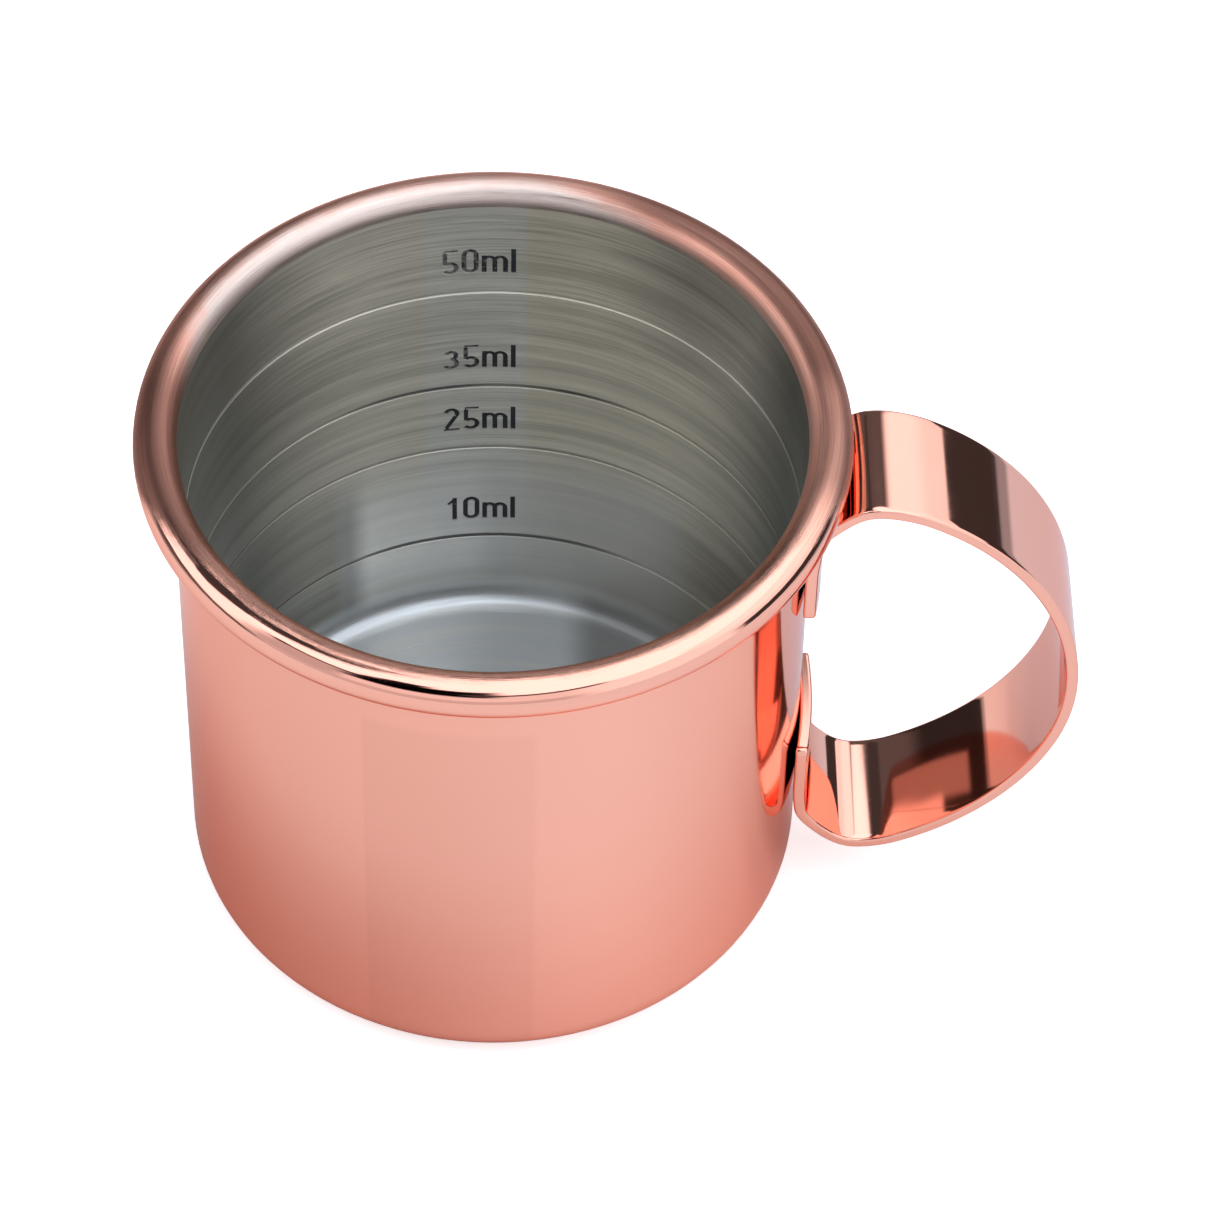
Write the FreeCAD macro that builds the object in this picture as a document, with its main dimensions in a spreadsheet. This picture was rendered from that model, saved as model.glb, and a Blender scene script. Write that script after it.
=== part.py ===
"""Bar jigger: a graduated measuring cup with a rolled rim and a welded strap handle.

The cup stands on the XY plane with its axis on +Z, and the handle points along +X.
All sizes are in millimetres and come from the sheet "Dimensions".
"""
import FreeCAD
import Part
import math
import os
import re
import Sketcher

Vector = FreeCAD.Vector
START, END, CENTRE = 1, 2, 3
SAME_PLACE = 1e-6

DIMENSIONS = {
    # cup
    "cup_height": (44.6, "base to the top of the rolled rim"),
    "bore_radius": (21.72, "inside of the cup's straight wall"),
    "sheet": (0.58, "thickness of the steel sheet in the wall and the rim"),
    "plating": (0.10, "copper over the outside, thicker than the real deposit"),
    "floor_top": (0.80, "height of the floor inside"),
    "floor_corner": (2.0, "inside radius between wall and floor"),
    "base_corner": (3.2, "outside radius between wall and base, on the steel"),
    "flare_start": (37.5, "height where the wall begins to flare"),
    # rolled rim
    "curl_centre": (23.43, "radius of the circle that the curl runs along"),
    "curl_section": (1.44, "outside radius of the curl's round section, on the steel"),
    "curl_end": (236.0, "angle of the sheet's edge round the section, from outward"),
    # volume rings and marks
    "volume_10ml": (10.0, "millilitres up to the lowest ring"),
    "volume_25ml": (25.0, "millilitres up to the second ring"),
    "volume_35ml": (35.0, "millilitres up to the third ring"),
    "volume_50ml": (50.0, "millilitres up to the highest ring"),
    "scribe_radius": (0.22, "radius of the round-nosed tool that cuts the rings"),
    "scribe_depth": (0.12, "depth of the rings in the wall"),
    "mark_lift": (1.95, "from a ring to the foot of its characters"),
    "mark_height": (2.5, "height of a digit"),
    "mark_stroke": (0.36, "width of a character's stroke"),
    "mark_azimuth": (92.8, "where the marks are centred, from the handle"),
    "mark_depth": (0.15, "depth of the stamped characters"),
    "mark_fill": (0.05, "thickness of the dark fill at the bottom of the stamping"),
    "stamp_reach": (0.5, "how far the stamping runs on inside the bore"),
    "prism_reach": (1.0, "how far a character's prism runs on past the stamping at either end"),
    # handle
    "strap_width": (9.6, "across the strap"),
    "strap_thickness": (0.90, "thickness of the strap"),
    "handle_offset": (-1.56, "from the cup's middle plane to the strap's, across the handle"),
    "strap_edge": (0.22, "rounding along the strap's edges"),
    "tab_corner": (0.5, "rounding of the tabs' corners"),
    "upper_tab_end": (30.5, "height where the upper tab ends"),
    "lower_tab_end": (15.9, "height where the lower tab ends"),
    "handle_top": (42.15, "highest point of the strap"),
    "handle_bottom": (4.55, "lowest point of the strap"),
    "handle_reach": (41.7, "from the cup's axis to the outside of the strap"),
    "front_height": (22.9, "height of the strap's outermost point"),
    "front_radius": (17.9, "outside radius at the outermost point"),
    "flank_radius": (20.5, "outside radius of the long flanks"),
    "upper_crest": (9.9, "outside radius past the highest point"),
    "lower_crest": (7.6, "outside radius before the lowest point"),
    "upper_bend": (3.7, "outside radius between upper tab and highest point"),
    "lower_bend": (4.4, "outside radius between lowest point and lower tab"),
    # spot welds
    "weld_radius": (1.1, "radius of a weld nugget"),
    "weld_spacing": (2.6, "between the two nuggets of a tab"),
    "weld_inset": (1.8, "from a tab's end to its nearest nugget"),
    "weld_into_cup": (0.30, "depth of a nugget in the cup's wall"),
    "weld_into_strap": (0.45, "depth of a nugget in the strap"),
}

doc = FreeCAD.newDocument("bar_jigger")


def make_sheet():
    sheet = doc.addObject("Spreadsheet::Sheet", "Dimensions")
    for row, (alias, (value, meaning)) in enumerate(DIMENSIONS.items(), start=1):
        sheet.set(f"A{row}", meaning)
        sheet.set(f"B{row}", str(value))
        sheet.setAlias(f"B{row}", alias)
    doc.recompute()
    return sheet


SHEET = make_sheet()


def size(alias):
    return float(SHEET.get(alias))


def bound(formula):
    """The formula with each alias written as the sheet's cell, as an expression needs it."""
    return re.sub(r"[a-z]\w+", lambda word: cell(word.group()), formula)


def cell(word):
    return "Dimensions." + word if word in DIMENSIONS else word


def value_of(formula):
    return float(SHEET.evalExpression(bound(formula)))


def bind(item, **formulas):
    """Binds properties of an object to formulas; two underscores stand for a dot."""
    for name, formula in formulas.items():
        item.setExpression(name.replace("__", "."), bound(formula))


# ---------------------------------------------------------------- sketches

def origin_plane(body, role):
    for feature in body.Origin.OriginFeatures:
        if feature.Role == role:
            return feature
    raise ValueError("no origin feature " + role)


def new_sketch(body, name):
    """A sketch on the body's XZ plane: its own x and y run along +X and +Z."""
    sketch = body.newObject("Sketcher::SketchObject", name)
    sketch.AttachmentSupport = (origin_plane(body, "XZ_Plane"), [""])
    sketch.MapMode = "FlatFace"
    return sketch


def add_line(sketch, start, end):
    return sketch.addGeometry(Part.LineSegment(Vector(*start, 0), Vector(*end, 0)))


def add_arc(sketch, centre, radius, first, last):
    """An arc drawn counter-clockwise between two angles in degrees."""
    circle = Part.Circle(Vector(*centre, 0), Vector(0, 0, 1), radius)
    return sketch.addGeometry(Part.ArcOfCircle(circle, math.radians(first), math.radians(last)))


def relate(sketch, kind, *places):
    return sketch.addConstraint(Sketcher.Constraint(kind, *places))


def fix(sketch, kind, places, formula):
    """Adds a dimension to a sketch and binds it to a formula."""
    index = relate(sketch, kind, *places, value_of(formula))
    sketch.setExpression(f"Constraints[{index}]", bound(formula))


def polar(centre, radius, angle):
    """The point at an angle in degrees on a circle."""
    turn = math.radians(angle)
    return (centre[0] + radius * math.cos(turn), centre[1] + radius * math.sin(turn))


def angle_to(start, end):
    return math.degrees(math.atan2(end[1] - start[1], end[0] - start[0]))


# ---------------------------------------------------------------- cup

WALL_RADIUS = "bore_radius + sheet"
SKIN_RADIUS = "bore_radius + sheet + plating"
CURL_HEIGHT = "(cup_height - plating - curl_section)"
CURL_EDGE_HEIGHT = CURL_HEIGHT + " + curl_section * sin(curl_end * 1 deg)"
CURL_OFFSET = "(curl_centre - bore_radius)"
FLARE_RADIUS = (f"({CURL_OFFSET}^2 + ({CURL_HEIGHT} - flare_start)^2 - curl_section^2)"
                f" / (2 * ({CURL_OFFSET} - curl_section))")


class Rim:
    """Where the flare and the curl lie: the flare's arc leads the wall smoothly into the curl."""

    def __init__(self):
        self.curl = (size("curl_centre"), value_of(CURL_HEIGHT))
        self.flare_radius = value_of(FLARE_RADIUS)
        self.flare = (size("bore_radius") + self.flare_radius, size("flare_start"))
        self.touch = angle_to(self.flare, self.curl)
        self.edge = size("curl_end") - 360


def fix_curl(sketch, arc):
    fix(sketch, "DistanceX", (-1, START, arc, CENTRE), "curl_centre")
    fix(sketch, "DistanceY", (-1, START, arc, CENTRE), CURL_HEIGHT)
    fix(sketch, "DistanceY", (-1, START, arc, START), CURL_EDGE_HEIGHT)
    fix(sketch, "Radius", (arc,), "curl_section")


def draw_shell(sketch):
    """Half the section of the steel cup: floor, wall, flare and curl of one sheet."""
    rim = Rim()
    bore, wall = size("bore_radius"), value_of(WALL_RADIUS)
    floor, base, top = size("floor_top"), size("plating"), size("flare_start")
    inner, outer = size("floor_corner"), size("base_corner")
    section, hollow = size("curl_section"), size("curl_section") - size("sheet")
    floor_line = add_line(sketch, (0, floor), (bore - inner, floor))
    floor_arc = add_arc(sketch, (bore - inner, floor + inner), inner, -90, 0)
    bore_line = add_line(sketch, (bore, floor + inner), (bore, top))
    bore_flare = add_arc(sketch, rim.flare, rim.flare_radius, rim.touch, 180)
    curl_outside = add_arc(sketch, rim.curl, section, rim.edge, rim.touch)
    curl_edge = add_line(sketch, polar(rim.curl, section, rim.edge), polar(rim.curl, hollow, rim.edge))
    curl_inside = add_arc(sketch, rim.curl, hollow, rim.edge, rim.touch)
    wall_flare = add_arc(sketch, rim.flare, rim.flare_radius - size("sheet"), rim.touch, 180)
    wall_line = add_line(sketch, (wall, top), (wall, base + outer))
    base_arc = add_arc(sketch, (wall - outer, base + outer), outer, -90, 0)
    base_line = add_line(sketch, (wall - outer, base), (0, base))
    axis_line = add_line(sketch, (0, base), (0, floor))
    smooth = [(floor_line, END, floor_arc, START), (floor_arc, END, bore_line, START),
              (bore_line, END, bore_flare, END), (bore_flare, START, curl_outside, END),
              (curl_inside, END, wall_flare, START), (wall_flare, END, wall_line, START),
              (wall_line, END, base_arc, END), (base_arc, START, base_line, START)]
    shared = [(curl_outside, START, curl_edge, START), (curl_edge, END, curl_inside, START),
              (base_line, END, axis_line, START), (axis_line, END, floor_line, START),
              (curl_outside, CENTRE, curl_inside, CENTRE), (bore_flare, CENTRE, wall_flare, CENTRE)]
    join(sketch, smooth, shared)
    level(sketch, (floor_line, base_line), (bore_line, wall_line, axis_line))
    relate(sketch, "PointOnObject", floor_line, START, -2)
    relate(sketch, "PointOnObject", curl_outside, CENTRE, curl_edge)
    fix(sketch, "DistanceX", (-1, START, bore_line, START), "bore_radius")
    fix(sketch, "DistanceX", (-1, START, wall_line, START), WALL_RADIUS)
    fix(sketch, "DistanceY", (-1, START, floor_line, START), "floor_top")
    fix(sketch, "DistanceY", (-1, START, base_line, END), "plating")
    fix(sketch, "DistanceY", (-1, START, bore_line, END), "flare_start")
    fix(sketch, "Radius", (floor_arc,), "floor_corner")
    fix(sketch, "Radius", (base_arc,), "base_corner")
    fix_curl(sketch, curl_outside)


def draw_plating(sketch):
    """Half the section of the copper: under the base, up the wall and over the rim."""
    rim = Rim()
    wall, skin = value_of(WALL_RADIUS), size("plating")
    outer, top, section = size("base_corner"), size("flare_start"), size("curl_section")
    steel_radius = rim.flare_radius - size("sheet")
    copper_radius = steel_radius - skin
    edge = polar(rim.curl, section, rim.edge)
    steel_end = (rim.flare[0] - math.sqrt(steel_radius ** 2 - (edge[1] - top) ** 2), edge[1])
    crease = crossing(rim.curl, section + skin, rim.flare, copper_radius)
    corner = (wall - outer, outer + skin)
    under = add_line(sketch, (0, 0), (corner[0], 0))
    under_arc = add_arc(sketch, corner, outer + skin, -90, 0)
    outside = add_line(sketch, (wall + skin, corner[1]), (wall + skin, top))
    outside_flare = add_arc(sketch, rim.flare, copper_radius, angle_to(rim.flare, crease), 180)
    curl_skin = add_arc(sketch, rim.curl, section + skin, angle_to(rim.curl, crease), rim.touch)
    curl_stop = add_line(sketch, polar(rim.curl, section + skin, rim.touch),
                         polar(rim.curl, section, rim.touch))
    curl_steel = add_arc(sketch, rim.curl, section, rim.edge, rim.touch)
    bridge = add_line(sketch, edge, steel_end)
    steel_arc = add_arc(sketch, rim.flare, steel_radius, angle_to(rim.flare, steel_end), 180)
    steel_line = add_line(sketch, (wall, top), (wall, corner[1]))
    base_arc = add_arc(sketch, corner, outer, -90, 0)
    base_line = add_line(sketch, (corner[0], skin), (0, skin))
    axis_line = add_line(sketch, (0, skin), (0, 0))
    smooth = [(under, END, under_arc, START), (under_arc, END, outside, START),
              (outside, END, outside_flare, END), (steel_arc, END, steel_line, START),
              (steel_line, END, base_arc, END), (base_arc, START, base_line, START)]
    shared = [(outside_flare, START, curl_skin, START), (curl_skin, END, curl_stop, START),
              (curl_stop, END, curl_steel, END), (curl_steel, START, bridge, START),
              (bridge, END, steel_arc, START), (base_line, END, axis_line, START),
              (axis_line, END, under, START), (curl_skin, CENTRE, curl_steel, CENTRE),
              (outside_flare, CENTRE, steel_arc, CENTRE), (under_arc, CENTRE, base_arc, CENTRE),
              (under, START, -1, START)]
    join(sketch, smooth, shared)
    level(sketch, (under, base_line, bridge), (outside, steel_line, axis_line))
    relate(sketch, "PointOnObject", curl_steel, CENTRE, curl_stop)
    relate(sketch, "PointOnObject", steel_arc, CENTRE, curl_stop)
    fix(sketch, "DistanceX", (-1, START, steel_line, START), WALL_RADIUS)
    fix(sketch, "DistanceY", (-1, START, base_line, END), "plating")
    fix(sketch, "DistanceY", (-1, START, outside, END), "flare_start")
    fix(sketch, "Radius", (base_arc,), "base_corner")
    fix(sketch, "Radius", (steel_arc,), FLARE_RADIUS + " - sheet")
    fix(sketch, "Radius", (curl_skin,), "curl_section + plating")
    fix_curl(sketch, curl_steel)


def crossing(first, first_radius, second, second_radius, side=-1):
    """Where two circles cross; side -1 takes the point to the right of the line between them."""
    apart = math.dist(first, second)
    cosine = (apart ** 2 + first_radius ** 2 - second_radius ** 2) / (2 * apart * first_radius)
    return polar(first, first_radius, angle_to(first, second) + side * math.degrees(math.acos(cosine)))


def join(sketch, smooth, shared):
    """Joins ends: smooth pairs are tangent where they meet, shared pairs only meet."""
    for pair in smooth:
        relate(sketch, "Tangent", *pair)
    for pair in shared:
        relate(sketch, "Coincident", *pair)


def level(sketch, flat_lines, upright_lines):
    for line in flat_lines:
        relate(sketch, "Horizontal", line)
    for line in upright_lines:
        relate(sketch, "Vertical", line)


def revolved_body(name, draw):
    """A body whose half section is turned once round the cup's axis."""
    body = doc.addObject("PartDesign::Body", name)
    sketch = new_sketch(body, name + "_section")
    draw(sketch)
    turn = body.newObject("PartDesign::Revolution", name + "_turn")
    turn.Profile = sketch
    turn.ReferenceAxis = (sketch, ["V_Axis"])
    turn.Angle = 360.0
    doc.recompute()
    return body


# ---------------------------------------------------------------- volume rings

VOLUMES = ("volume_10ml", "volume_25ml", "volume_35ml", "volume_50ml")
# What the rounded corner takes from the cup's volume, by Pappus's theorem: the area between a
# square corner and its fillet, carried round on its centroid.
CORNER_CENTROID = "(10 - 3 * pi) / (12 - 3 * pi)"
CORNER_LOSS = (f"2 * pi * (bore_radius - {CORNER_CENTROID} * floor_corner)"
               " * floor_corner^2 * (1 - pi / 4)")


def ring_height(volume):
    """Height of the liquid at a volume in millilitres, as a formula."""
    return f"floor_top + (1000 * {volume} + {CORNER_LOSS}) / (pi * bore_radius^2)"


def scribe_rings(body):
    """Cuts the four volume rings into the bore with a round-nosed tool."""
    sketch = new_sketch(body, "ring_sections")
    for volume in VOLUMES:
        height = value_of(ring_height(volume))
        across = value_of("bore_radius + scribe_depth - scribe_radius")
        circle = Part.Circle(Vector(across, height, 0), Vector(0, 0, 1), size("scribe_radius"))
        nose = sketch.addGeometry(circle)
        fix(sketch, "DistanceX", (-1, START, nose, CENTRE),
            "bore_radius + scribe_depth - scribe_radius")
        fix(sketch, "DistanceY", (-1, START, nose, CENTRE), ring_height(volume))
        fix(sketch, "Radius", (nose,), "scribe_radius")
    before = body.Shape.Volume
    rings = body.newObject("PartDesign::Groove", "volume_rings")
    rings.Profile = sketch
    rings.ReferenceAxis = (sketch, ["V_Axis"])
    rings.Angle = 360.0
    doc.recompute()
    if body.Shape.Volume >= before:
        raise RuntimeError("the volume rings cut nothing")


# ---------------------------------------------------------------- characters

def bar(start, end, width):
    """A straight stroke with square ends."""
    first, last = Vector(*start, 0), Vector(*end, 0)
    along = (last - first).normalize()
    aside = Vector(-along.y, along.x, 0) * (width / 2)
    corners = [first + aside, last + aside, last - aside, first - aside, first + aside]
    return Part.Face(Part.makePolygon(corners))


def bow(centre, radius, first, last, width):
    """A curved stroke, counter-clockwise between two angles in degrees."""
    edges = []
    for reach in (radius + width / 2, radius - width / 2):
        circle = Part.Circle(Vector(*centre, 0), Vector(0, 0, 1), reach)
        edges.append(circle.toShape(math.radians(first), math.radians(last)))
    for angle in (first, last):
        inner = Vector(*polar(centre, radius - width / 2, angle), 0)
        outer = Vector(*polar(centre, radius + width / 2, angle), 0)
        edges.append(Part.makeLine(inner, outer))
    return Part.Face(Part.Wire(Part.sortEdges(edges)[0]))


# Proportions of the characters: widths and heights as shares of a digit's height or width,
# strokes as shares of the pen, and turns in degrees round a bow's centre.
DIGIT_WIDTH = 0.5
THIN_STROKE = 0.72
LETTER_GAP = 0.62
STEM_PLACE = 0.66
FLAG_LENGTH = 0.42
FLAG_DROP = 0.28
KNEE_TURN = -38
HOOK_TURN = 165
SLOPE_PLACE = 0.6
FOOT_PLACE = 0.15
UPPER_BOWL = 0.88
BOWL_OPENING = 160
BELLY = 1.06
BELLY_OPENING = 150
SHOULDER_TURN = 140
BACK_PLACE = 0.75
BACK_STROKE = 0.9
CAP_END = 0.97
LOW_HEIGHT = 0.72
ARCH_RADIUS = 0.155


def strokes_of(character, tall, pen):
    """The strokes of one character standing on y = 0, and the character's width."""
    half, thin = pen / 2, pen * THIN_STROKE
    wide = tall * DIGIT_WIDTH
    middle, bowl = wide / 2, wide / 2 - half
    top = tall - half - bowl
    foot = half + bowl
    if character == "0":
        sides = [bar((x, foot), (x, top), pen) for x in (half, wide - half)]
        ends = [bow((middle, top), bowl, 0, 180, pen), bow((middle, foot), bowl, 180, 360, pen)]
        return sides + ends, wide
    if character == "1":
        stem = wide * STEM_PLACE
        flag_end = (stem - wide * FLAG_LENGTH, tall * (1 - FLAG_DROP))
        flag = bar((stem, tall - half), flag_end, thin)
        return [bar((stem, 0), (stem, tall), pen), flag], wide
    if character == "2":
        knee = polar((middle, top), bowl, KNEE_TURN)
        hook = bow((middle, top), bowl, KNEE_TURN, HOOK_TURN, pen)
        slope = bar(knee, (pen * SLOPE_PLACE, thin), pen)
        base = bar((pen * FOOT_PLACE, thin / 2), (wide, thin / 2), thin)
        return [hook, slope, base], wide
    if character == "3":
        upper, lower = bowl * UPPER_BOWL, bowl
        waist = foot + lower
        upper_bow = bow((middle, waist + upper), upper, -90, BOWL_OPENING, pen)
        lower_bow = bow((middle, foot), lower, -BOWL_OPENING, 90, pen)
        return [upper_bow, lower_bow], wide
    if character == "5":
        reach = bowl * BELLY
        shoulder = polar((middle, half + reach), reach, SHOULDER_TURN)
        back = bar(shoulder, (pen * BACK_PLACE, tall - thin), pen * BACK_STROKE)
        cap = bar((half, tall - thin / 2), (wide * CAP_END, tall - thin / 2), thin)
        belly = bow((middle, half + reach), reach, -BELLY_OPENING, SHOULDER_TURN, pen)
        return [belly, back, cap], wide
    if character == "m":
        low, arch = tall * LOW_HEIGHT, tall * ARCH_RADIUS
        stems = [half + 2 * arch * step for step in range(3)]
        legs = [bar((x, 0), (x, low - half - arch if x > half else low), pen) for x in stems]
        arches = [bow((x + arch, low - half - arch), arch, 0, 180, pen) for x in stems[:2]]
        return legs + arches, stems[-1] + half
    if character == "l":
        return [bar((half, 0), (half, tall), pen)], pen
    raise ValueError("no strokes for " + character)


def letter_prisms(text, foot, inside, outside):
    """Characters as prisms that cross the back wall, upright and readable from the front."""
    tall, pen = size("mark_height"), size("mark_stroke")
    spacing = pen * LETTER_GAP
    solids, across = [], 0.0
    for character in text:
        faces, width = strokes_of(character, tall, pen)
        letter = faces[0].extrude(Vector(0, 0, outside - inside))
        for face in faces[1:]:
            letter = letter.fuse(face.extrude(Vector(0, 0, outside - inside)))
        letter.translate(Vector(across, 0, 0))
        solids.append(letter.removeSplitter())
        across += width + spacing
    row = Part.makeCompound(solids)
    row.translate(Vector((spacing - across) / 2, 0, 0))
    row.rotate(Vector(0, 0, 0), Vector(1, 0, 0), 90)
    row.translate(Vector(0, outside, foot))
    row.rotate(Vector(0, 0, 0), Vector(0, 0, 1), size("mark_azimuth") - 90)
    return row


def wall_band(name, inside, outside):
    """A ring between two radii, as tall as the cup."""
    core, rim = (doc.addObject("Part::Cylinder", name + end) for end in ("_core", "_rim"))
    for cylinder, radius in ((core, inside), (rim, outside)):
        bind(cylinder, Radius=radius, Height="cup_height")
    band = doc.addObject("Part::Cut", name)
    band.Base, band.Tool = rim, core
    return band


def common(name, first, second):
    overlap = doc.addObject("Part::Common", name)
    overlap.Base, overlap.Tool = first, second
    return overlap


def stamp_marks():
    """The stamped characters: what each takes out of the wall, and its dark fill."""
    pocket_band = wall_band("pocket_band", "bore_radius - stamp_reach", "bore_radius + mark_depth")
    fill_band = wall_band("fill_band", "bore_radius + mark_depth - mark_fill",
                          "bore_radius + mark_depth")
    inside = value_of("bore_radius - stamp_reach - prism_reach")
    outside = value_of("bore_radius + mark_depth + prism_reach")
    pockets, fills = [], []
    for volume in VOLUMES:
        text = volume.removeprefix("volume_")
        foot = value_of(ring_height(volume)) + size("mark_lift")
        prisms = doc.addObject("Part::Feature", "prisms_" + text)
        prisms.Shape = letter_prisms(text, foot, inside, outside)
        pockets.append(common("pocket_" + text, prisms, pocket_band))
        fills.append(common("mark_" + text, prisms, fill_band))
    return pockets, fills


# ---------------------------------------------------------------- handle

def strap_arcs():
    """The strap's outside from upper tab to lower tab, as arcs that all turn one way.

    Each is a centre, a radius alias and the angles where it starts and stops, clockwise.
    """
    back = value_of(SKIN_RADIUS)
    top, bottom = size("handle_top"), size("handle_bottom")
    bend = {"upper": (back + size("upper_bend"), top - size("upper_bend")),
            "lower": (back + size("lower_bend"), bottom + size("lower_bend"))}
    crest = {"upper": (bend["upper"][0], top - size("upper_crest")),
             "lower": (bend["lower"][0], bottom + size("lower_crest"))}
    front = (value_of("handle_reach - front_radius"), size("front_height"))
    flank = {}
    for end, side in (("upper", 1), ("lower", -1)):
        flank[end] = crossing(crest[end], value_of(f"flank_radius - {end}_crest"),
                              front, value_of("flank_radius - front_radius"), -side)
    turns = {end: (angle_to(flank[end], crest[end]), angle_to(flank[end], front)) for end in flank}
    return [(bend["upper"], "upper_bend", 180, 90),
            (crest["upper"], "upper_crest", 90, turns["upper"][0]),
            (flank["upper"], "flank_radius", *turns["upper"]),
            (front, "front_radius", turns["upper"][1], turns["lower"][1]),
            (flank["lower"], "flank_radius", turns["lower"][1], turns["lower"][0]),
            (crest["lower"], "lower_crest", turns["lower"][0], -90),
            (bend["lower"], "lower_bend", -90, -180)]


def draw_strap(sketch):
    """The strap seen from its edge: an outer and an inner chain of concentric arcs."""
    thickness = size("strap_thickness")
    back = value_of(SKIN_RADIUS)
    arcs = strap_arcs()
    chains = []
    for inset in (0.0, thickness):
        x = back + inset
        chain = [add_line(sketch, (x, size("upper_tab_end")), (x, arcs[0][0][1]))]
        for centre, radius, first, last in arcs:
            chain.append(add_arc(sketch, centre, size(radius) - inset, last, first))
        chain.append(add_line(sketch, (x, arcs[-1][0][1]), (x, size("lower_tab_end"))))
        chains.append(chain)
    outer, inner = chains
    smooth = []
    for chain in chains:
        smooth.append((chain[0], END, chain[1], END))
        smooth += [(chain[k], START, chain[k + 1], END) for k in range(1, len(arcs))]
        smooth.append((chain[-2], START, chain[-1], START))
    ends = [add_line(sketch, (back, size("upper_tab_end")), (back + thickness, size("upper_tab_end"))),
            add_line(sketch, (back, size("lower_tab_end")), (back + thickness, size("lower_tab_end")))]
    shared = [(outer[0], START, ends[0], START), (inner[0], START, ends[0], END),
              (outer[-1], END, ends[1], START), (inner[-1], END, ends[1], END)]
    shared += [(outer[k], CENTRE, inner[k], CENTRE) for k in range(1, len(arcs) + 1)]
    join(sketch, smooth, shared)
    level(sketch, ends, (outer[0], outer[-1], inner[0], inner[-1]))
    fix(sketch, "DistanceX", (-1, START, outer[0], START), SKIN_RADIUS)
    fix(sketch, "DistanceX", (-1, START, outer[-1], START), SKIN_RADIUS)
    fix(sketch, "DistanceX", (ends[0], START, ends[0], END), "strap_thickness")
    fix(sketch, "DistanceY", (-1, START, outer[0], START), "upper_tab_end")
    fix(sketch, "DistanceY", (-1, START, outer[-1], END), "lower_tab_end")
    for arc, (_, radius, _, _) in zip(outer[1:-1], arcs):
        fix(sketch, "Radius", (arc,), radius)
    relate(sketch, "Vertical", outer[1], START, outer[1], CENTRE)
    relate(sketch, "Vertical", outer[-2], END, outer[-2], CENTRE)
    fix(sketch, "DistanceY", (-1, START, outer[1], START), "handle_top")
    fix(sketch, "DistanceY", (-1, START, outer[-2], END), "handle_bottom")
    fix(sketch, "DistanceX", (-1, START, outer[4], CENTRE), "handle_reach - front_radius")
    fix(sketch, "DistanceY", (-1, START, outer[4], CENTRE), "front_height")


def names_where(shapes, kind, test):
    return [f"{kind}{number}" for number, shape in enumerate(shapes, start=1) if test(shape)]


def strap_body():
    """The strap: its edge-on outline padded both ways, with rounded tabs and broken edges."""
    body = doc.addObject("PartDesign::Body", "strap_form")
    sketch = new_sketch(body, "strap_outline")
    draw_strap(sketch)
    pad = body.newObject("PartDesign::Pad", "strap_pad")
    pad.Profile = sketch
    pad.SideType = "Symmetric"
    bind(pad, Length="strap_width")
    doc.recompute()
    half = size("strap_width") / 2
    tab_ends = (size("upper_tab_end"), size("lower_tab_end"))

    def on_tab_corner(edge):
        points = [vertex.Point for vertex in edge.Vertexes]
        level_here = any(all(abs(p.z - end) < SAME_PLACE for p in points) for end in tab_ends)
        return level_here and all(abs(abs(p.y) - half) < SAME_PLACE for p in points) \
            and abs(points[0].y - points[-1].y) < SAME_PLACE

    corners = body.newObject("PartDesign::Fillet", "tab_corners")
    corners.Base = (pad, names_where(pad.Shape.Edges, "Edge", on_tab_corner))
    bind(corners, Radius="tab_corner")
    doc.recompute()

    def is_side(face):
        return abs(abs(face.CenterOfMass.y) - half) < SAME_PLACE

    edges = body.newObject("PartDesign::Fillet", "broken_edges")
    edges.Base = (corners, names_where(corners.Shape.Faces, "Face", is_side))
    bind(edges, Radius="strap_edge")
    bind(body, Placement__Base__y="handle_offset")
    doc.recompute()
    return body


# ---------------------------------------------------------------- welds

def spot_weld_pair(name, first_height):
    """Two nuggets, one above the other, through the plating between strap and cup."""
    nuggets = []
    for step in range(2):
        nugget = doc.addObject("Part::Cylinder", f"{name}_{step + 1}")
        nugget.Placement = FreeCAD.Placement(Vector(0, 0, 0), FreeCAD.Rotation(Vector(0, 1, 0), 90))
        bind(nugget, Radius="weld_radius",
             Height="weld_into_cup + plating + weld_into_strap",
             Placement__Base__x="bore_radius + sheet - weld_into_cup",
             Placement__Base__z=f"{first_height} + {step} * weld_spacing")
        nuggets.append(nugget)
    pair = doc.addObject("Part::Compound", name)
    pair.Links = nuggets
    return pair


def cut(name, base, tool):
    result = doc.addObject("Part::Cut", name)
    result.Base, result.Tool = base, tool
    return result


def compound(name, items):
    group = doc.addObject("Part::Compound", name)
    group.Links = items
    return group


# ---------------------------------------------------------------- assembly

def build():
    shell_form = revolved_body("shell_form", draw_shell)
    scribe_rings(shell_form)
    plating_form = revolved_body("plating_form", draw_plating)
    strap_form = strap_body()
    pockets, fills = stamp_marks()
    upper_welds = spot_weld_pair("upper_spot_welds", "upper_tab_end + weld_inset")
    lower_welds = spot_weld_pair("lower_spot_welds", "lower_tab_end - weld_inset - weld_spacing")
    welds = compound("weld_places", [upper_welds, lower_welds])
    stamps = compound("stamp_places", pockets)
    stamped_shell = cut("stamped_shell", shell_form, stamps)
    shell = cut("cup_shell", stamped_shell, welds)
    plating = cut("copper_plating", plating_form, welds)
    strap = cut("handle_strap", strap_form, welds)
    doc.recompute()
    return [shell, plating, strap, upper_welds, lower_welds, *fills]


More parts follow.
